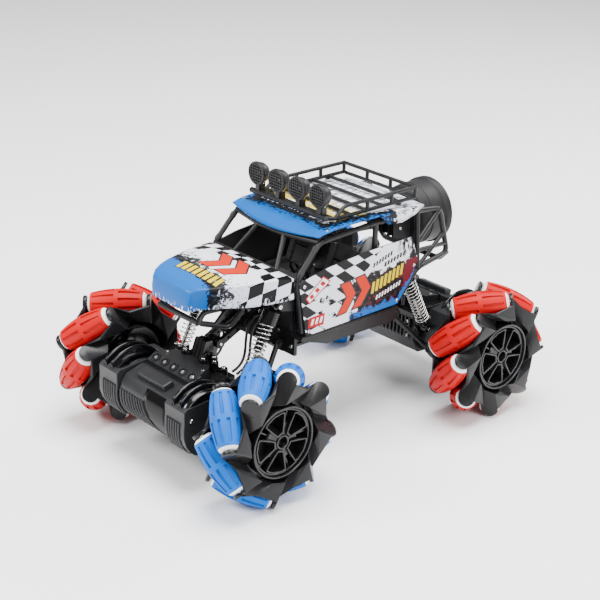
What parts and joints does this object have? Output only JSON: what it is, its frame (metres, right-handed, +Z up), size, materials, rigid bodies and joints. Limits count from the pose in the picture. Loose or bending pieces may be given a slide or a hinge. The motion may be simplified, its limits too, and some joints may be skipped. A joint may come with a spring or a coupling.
{
  "type": "rc stunt car",
  "caption": "Radio-controlled stunt car with a tube-frame body on solid axles, coil-over suspension and roller wheels that let it drive sideways.",
  "frame": {"origin": "on the ground, in the middle of the four wheels", "axes": "+Z up, the front of the car faces -Y, its left side is +X"},
  "size_m": [0.252, 0.3798, 0.232],
  "materials": {
    "shell_plastic": "printed gloss",
    "cage_plastic": "satin moulded",
    "chassis_plastic": "moulded",
    "seat_plastic": "grained",
    "battery_case": "shrink wrap",
    "lead_rubber": "smooth",
    "housing_plastic": "satin moulded",
    "motor_steel": "brushed",
    "link_plastic": "satin",
    "shock_plastic": "satin",
    "shock_steel": "polished",
    "spring_steel": "bright",
    "hub_plastic": "matte moulded",
    "blue_rubber": "matte",
    "red_rubber": "matte"
  },
  "bodies": {
    "car_body": {"chassis": "chassis_plastic", "battery": "battery_case", "roll_cage": "cage_plastic", "hood": "shell_plastic", "side_panels": "shell_plastic", "roof_panel": "shell_plastic", "roof_rack": "cage_plastic", "seats": "seat_plastic", "nozzle": "cage_plastic"},
    "arm_front": {"upper_arm_front": "link_plastic", "motor_leads": "lead_rubber"},
    "axle_front": {"axle_housing_front": "housing_plastic", "motors_front": "motor_steel"},
    "links_front": {"lower_links_front": "link_plastic"},
    "shock_upper_front": {"shock_bodies_front": "shock_plastic", "springs_front": "spring_steel"},
    "shock_lower_front": {"shock_rods_front": "shock_steel"},
    "arm_rear": {"upper_arm_rear": "link_plastic"},
    "axle_rear": {"axle_housing_rear": "housing_plastic", "motors_rear": "motor_steel"},
    "links_rear": {"lower_links_rear": "link_plastic"},
    "shock_upper_rear": {"shock_bodies_rear": "shock_plastic", "springs_rear": "spring_steel"},
    "shock_lower_rear": {"shock_rods_rear": "shock_steel"},
    "wheel_fl": {"hub_fl": "hub_plastic"},
    "wheel_fr": {"hub_fr": "hub_plastic"},
    "wheel_rl": {"hub_rl": "hub_plastic"},
    "wheel_rr": {"hub_rr": "hub_plastic"},
    "roller_fl_1": {"roller_fl_1": "blue_rubber"},
    "roller_fl_2": {"roller_fl_2": "blue_rubber"},
    "roller_fl_3": {"roller_fl_3": "blue_rubber"},
    "roller_fl_4": {"roller_fl_4": "blue_rubber"},
    "roller_fl_5": {"roller_fl_5": "blue_rubber"},
    "roller_fl_6": {"roller_fl_6": "blue_rubber"},
    "roller_fl_7": {"roller_fl_7": "blue_rubber"},
    "roller_fl_8": {"roller_fl_8": "blue_rubber"},
    "roller_fr_1": {"roller_fr_1": "red_rubber"},
    "roller_fr_2": {"roller_fr_2": "red_rubber"},
    "roller_fr_3": {"roller_fr_3": "red_rubber"},
    "roller_fr_4": {"roller_fr_4": "red_rubber"},
    "roller_fr_5": {"roller_fr_5": "red_rubber"},
    "roller_fr_6": {"roller_fr_6": "red_rubber"},
    "roller_fr_7": {"roller_fr_7": "red_rubber"},
    "roller_fr_8": {"roller_fr_8": "red_rubber"},
    "roller_rl_1": {"roller_rl_1": "red_rubber"},
    "roller_rl_2": {"roller_rl_2": "red_rubber"},
    "roller_rl_3": {"roller_rl_3": "red_rubber"},
    "roller_rl_4": {"roller_rl_4": "red_rubber"},
    "roller_rl_5": {"roller_rl_5": "red_rubber"},
    "roller_rl_6": {"roller_rl_6": "red_rubber"},
    "roller_rl_7": {"roller_rl_7": "red_rubber"},
    "roller_rl_8": {"roller_rl_8": "red_rubber"},
    "roller_rr_1": {"roller_rr_1": "blue_rubber"},
    "roller_rr_2": {"roller_rr_2": "blue_rubber"},
    "roller_rr_3": {"roller_rr_3": "blue_rubber"},
    "roller_rr_4": {"roller_rr_4": "blue_rubber"},
    "roller_rr_5": {"roller_rr_5": "blue_rubber"},
    "roller_rr_6": {"roller_rr_6": "blue_rubber"},
    "roller_rr_7": {"roller_rr_7": "blue_rubber"},
    "roller_rr_8": {"roller_rr_8": "blue_rubber"}
  },
  "joints": [
    {"name": "arm_front_pivot", "type": "hinge", "parent": "car_body", "child": "arm_front", "pos_m": [0, -0.062, 0.118], "axis": [1, 0, 0], "range_deg": [-8, 8], "stiffness_Nm_per_rad": 0.5, "springref_deg": 4.81},
    {"name": "axle_front_pivot", "type": "hinge", "parent": "arm_front", "child": "axle_front", "pos_m": [0, -0.104, 0.098], "axis": [1, 0, 0], "range_deg": [-3.7, 3.7]},
    {"name": "links_front_pivot", "type": "hinge", "parent": "car_body", "child": "links_front", "pos_m": [0, -0.063, 0.097], "axis": [1, 0, 0], "range_deg": [-8.48, 8.48]},
    {"name": "shock_front_tilt", "type": "hinge", "parent": "car_body", "child": "shock_upper_front", "pos_m": [0, -0.0745, 0.138], "axis": [1, 0, 0], "range_deg": [-5.76, 5.76]},
    {"name": "shock_front_slide", "type": "slide", "parent": "shock_upper_front", "child": "shock_lower_front", "axis": [0, -0.4522, -0.8919], "range_m": [-0.00358, 0.00358], "deforming": ["springs_front"]},
    {"name": "arm_rear_pivot", "type": "hinge", "parent": "car_body", "child": "arm_rear", "pos_m": [0, 0.062, 0.118], "axis": [-1, 0, 0], "range_deg": [-8, 8], "stiffness_Nm_per_rad": 0.5, "springref_deg": 4.81},
    {"name": "axle_rear_pivot", "type": "hinge", "parent": "arm_rear", "child": "axle_rear", "pos_m": [0, 0.104, 0.098], "axis": [-1, 0, 0], "range_deg": [-3.7, 3.7]},
    {"name": "links_rear_pivot", "type": "hinge", "parent": "car_body", "child": "links_rear", "pos_m": [0, 0.063, 0.097], "axis": [-1, 0, 0], "range_deg": [-8.48, 8.48]},
    {"name": "shock_rear_tilt", "type": "hinge", "parent": "car_body", "child": "shock_upper_rear", "pos_m": [0, 0.0745, 0.138], "axis": [-1, 0, 0], "range_deg": [-5.76, 5.76]},
    {"name": "shock_rear_slide", "type": "slide", "parent": "shock_upper_rear", "child": "shock_lower_rear", "axis": [0, 0.4522, -0.8919], "range_m": [-0.00358, 0.00358], "deforming": ["springs_rear"]},
    {"name": "wheel_fl", "type": "hinge", "parent": "axle_front", "child": "wheel_fl", "pos_m": [0.1005, -0.13, 0.06], "axis": [1, 0, 0], "continuous": true},
    {"name": "wheel_fr", "type": "hinge", "parent": "axle_front", "child": "wheel_fr", "pos_m": [-0.1005, -0.13, 0.06], "axis": [1, 0, 0], "continuous": true},
    {"name": "wheel_rl", "type": "hinge", "parent": "axle_rear", "child": "wheel_rl", "pos_m": [0.1005, 0.13, 0.06], "axis": [1, 0, 0], "continuous": true},
    {"name": "wheel_rr", "type": "hinge", "parent": "axle_rear", "child": "wheel_rr", "pos_m": [-0.1005, 0.13, 0.06], "axis": [1, 0, 0], "continuous": true},
    {"name": "roller_fl_1_spin", "type": "hinge", "parent": "wheel_fl", "child": "roller_fl_1", "pos_m": [0.1005, -0.1064, 0.10088], "axis": [0.6691, -0.6436, 0.3716], "continuous": true},
    {"name": "roller_fl_2_spin", "type": "hinge", "parent": "wheel_fl", "child": "roller_fl_2", "pos_m": [0.1005, -0.14222, 0.10559], "axis": [0.6691, -0.7178, -0.1923], "continuous": true},
    {"name": "roller_fl_3_spin", "type": "hinge", "parent": "wheel_fl", "child": "roller_fl_3", "pos_m": [0.1005, -0.17088, 0.0836], "axis": [0.6691, -0.3716, -0.6436], "continuous": true},
    {"name": "roller_fl_4_spin", "type": "hinge", "parent": "wheel_fl", "child": "roller_fl_4", "pos_m": [0.1005, -0.17559, 0.04778], "axis": [0.6691, 0.1923, -0.7178], "continuous": true},
    {"name": "roller_fl_5_spin", "type": "hinge", "parent": "wheel_fl", "child": "roller_fl_5", "pos_m": [0.1005, -0.1536, 0.01912], "axis": [0.6691, 0.6436, -0.3716], "continuous": true},
    {"name": "roller_fl_6_spin", "type": "hinge", "parent": "wheel_fl", "child": "roller_fl_6", "pos_m": [0.1005, -0.11778, 0.01441], "axis": [0.6691, 0.7178, 0.1923], "continuous": true},
    {"name": "roller_fl_7_spin", "type": "hinge", "parent": "wheel_fl", "child": "roller_fl_7", "pos_m": [0.1005, -0.08912, 0.0364], "axis": [0.6691, 0.3716, 0.6436], "continuous": true},
    {"name": "roller_fl_8_spin", "type": "hinge", "parent": "wheel_fl", "child": "roller_fl_8", "pos_m": [0.1005, -0.08441, 0.07222], "axis": [0.6691, -0.1923, 0.7178], "continuous": true},
    {"name": "roller_fr_1_spin", "type": "hinge", "parent": "wheel_fr", "child": "roller_fr_1", "pos_m": [-0.1005, -0.09903, 0.09562], "axis": [-0.6691, -0.5609, 0.4875], "continuous": true},
    {"name": "roller_fr_2_spin", "type": "hinge", "parent": "wheel_fr", "child": "roller_fr_2", "pos_m": [-0.1005, -0.13329, 0.10708], "axis": [-0.6691, -0.7413, -0.0518], "continuous": true},
    {"name": "roller_fr_3_spin", "type": "hinge", "parent": "wheel_fr", "child": "roller_fr_3", "pos_m": [-0.1005, -0.16562, 0.09097], "axis": [-0.6691, -0.4875, -0.5609], "continuous": true},
    {"name": "roller_fr_4_spin", "type": "hinge", "parent": "wheel_fr", "child": "roller_fr_4", "pos_m": [-0.1005, -0.17708, 0.05671], "axis": [-0.6691, 0.0518, -0.7413], "continuous": true},
    {"name": "roller_fr_5_spin", "type": "hinge", "parent": "wheel_fr", "child": "roller_fr_5", "pos_m": [-0.1005, -0.16097, 0.02438], "axis": [-0.6691, 0.5609, -0.4875], "continuous": true},
    {"name": "roller_fr_6_spin", "type": "hinge", "parent": "wheel_fr", "child": "roller_fr_6", "pos_m": [-0.1005, -0.12671, 0.01291], "axis": [-0.6691, 0.7413, 0.0518], "continuous": true},
    {"name": "roller_fr_7_spin", "type": "hinge", "parent": "wheel_fr", "child": "roller_fr_7", "pos_m": [-0.1005, -0.09438, 0.02903], "axis": [-0.6691, 0.4875, 0.5609], "continuous": true},
    {"name": "roller_fr_8_spin", "type": "hinge", "parent": "wheel_fr", "child": "roller_fr_8", "pos_m": [-0.1005, -0.08292, 0.06329], "axis": [-0.6691, -0.0518, 0.7413], "continuous": true},
    {"name": "roller_rl_1_spin", "type": "hinge", "parent": "wheel_rl", "child": "roller_rl_1", "pos_m": [0.1005, 0.15431, 0.10046], "axis": [0.6691, 0.637, -0.3827], "continuous": true},
    {"name": "roller_rl_2_spin", "type": "hinge", "parent": "wheel_rl", "child": "roller_rl_2", "pos_m": [0.1005, 0.11858, 0.1058], "axis": [0.6691, 0.7211, 0.1798], "continuous": true},
    {"name": "roller_rl_3_spin", "type": "hinge", "parent": "wheel_rl", "child": "roller_rl_3", "pos_m": [0.1005, 0.08954, 0.08431], "axis": [0.6691, 0.3827, 0.637], "continuous": true},
    {"name": "roller_rl_4_spin", "type": "hinge", "parent": "wheel_rl", "child": "roller_rl_4", "pos_m": [0.1005, 0.0842, 0.04858], "axis": [0.6691, -0.1798, 0.7211], "continuous": true},
    {"name": "roller_rl_5_spin", "type": "hinge", "parent": "wheel_rl", "child": "roller_rl_5", "pos_m": [0.1005, 0.10569, 0.01954], "axis": [0.6691, -0.637, 0.3827], "continuous": true},
    {"name": "roller_rl_6_spin", "type": "hinge", "parent": "wheel_rl", "child": "roller_rl_6", "pos_m": [0.1005, 0.14142, 0.0142], "axis": [0.6691, -0.7211, -0.1798], "continuous": true},
    {"name": "roller_rl_7_spin", "type": "hinge", "parent": "wheel_rl", "child": "roller_rl_7", "pos_m": [0.1005, 0.17046, 0.03569], "axis": [0.6691, -0.3827, -0.637], "continuous": true},
    {"name": "roller_rl_8_spin", "type": "hinge", "parent": "wheel_rl", "child": "roller_rl_8", "pos_m": [0.1005, 0.1758, 0.07142], "axis": [0.6691, 0.1798, -0.7211], "continuous": true},
    {"name": "roller_rr_1_spin", "type": "hinge", "parent": "wheel_rr", "child": "roller_rr_1", "pos_m": [-0.1005, 0.14222, 0.10559], "axis": [-0.6691, 0.7178, -0.1923], "continuous": true},
    {"name": "roller_rr_2_spin", "type": "hinge", "parent": "wheel_rr", "child": "roller_rr_2", "pos_m": [-0.1005, 0.1064, 0.10088], "axis": [-0.6691, 0.6436, 0.3716], "continuous": true},
    {"name": "roller_rr_3_spin", "type": "hinge", "parent": "wheel_rr", "child": "roller_rr_3", "pos_m": [-0.1005, 0.08441, 0.07222], "axis": [-0.6691, 0.1923, 0.7178], "continuous": true},
    {"name": "roller_rr_4_spin", "type": "hinge", "parent": "wheel_rr", "child": "roller_rr_4", "pos_m": [-0.1005, 0.08912, 0.0364], "axis": [-0.6691, -0.3716, 0.6436], "continuous": true},
    {"name": "roller_rr_5_spin", "type": "hinge", "parent": "wheel_rr", "child": "roller_rr_5", "pos_m": [-0.1005, 0.11778, 0.01441], "axis": [-0.6691, -0.7178, 0.1923], "continuous": true},
    {"name": "roller_rr_6_spin", "type": "hinge", "parent": "wheel_rr", "child": "roller_rr_6", "pos_m": [-0.1005, 0.1536, 0.01912], "axis": [-0.6691, -0.6436, -0.3716], "continuous": true},
    {"name": "roller_rr_7_spin", "type": "hinge", "parent": "wheel_rr", "child": "roller_rr_7", "pos_m": [-0.1005, 0.17559, 0.04778], "axis": [-0.6691, -0.1923, -0.7178], "continuous": true},
    {"name": "roller_rr_8_spin", "type": "hinge", "parent": "wheel_rr", "child": "roller_rr_8", "pos_m": [-0.1005, 0.17088, 0.0836], "axis": [-0.6691, 0.3716, -0.6436], "continuous": true}
  ],
  "couplings": [
    {"joint": "axle_front_pivot", "follows": "arm_front_pivot", "ratio": -0.4345},
    {"joint": "links_front_pivot", "follows": "arm_front_pivot", "ratio": 1.003},
    {"joint": "shock_front_tilt", "follows": "arm_front_pivot", "ratio": 0.68},
    {"joint": "shock_front_slide", "follows": "arm_front_pivot", "m_per_rad": 0.023766},
    {"joint": "axle_rear_pivot", "follows": "arm_rear_pivot", "ratio": -0.4345},
    {"joint": "links_rear_pivot", "follows": "arm_rear_pivot", "ratio": 1.003},
    {"joint": "shock_rear_tilt", "follows": "arm_rear_pivot", "ratio": 0.68},
    {"joint": "shock_rear_slide", "follows": "arm_rear_pivot", "m_per_rad": 0.023766}
  ]
}
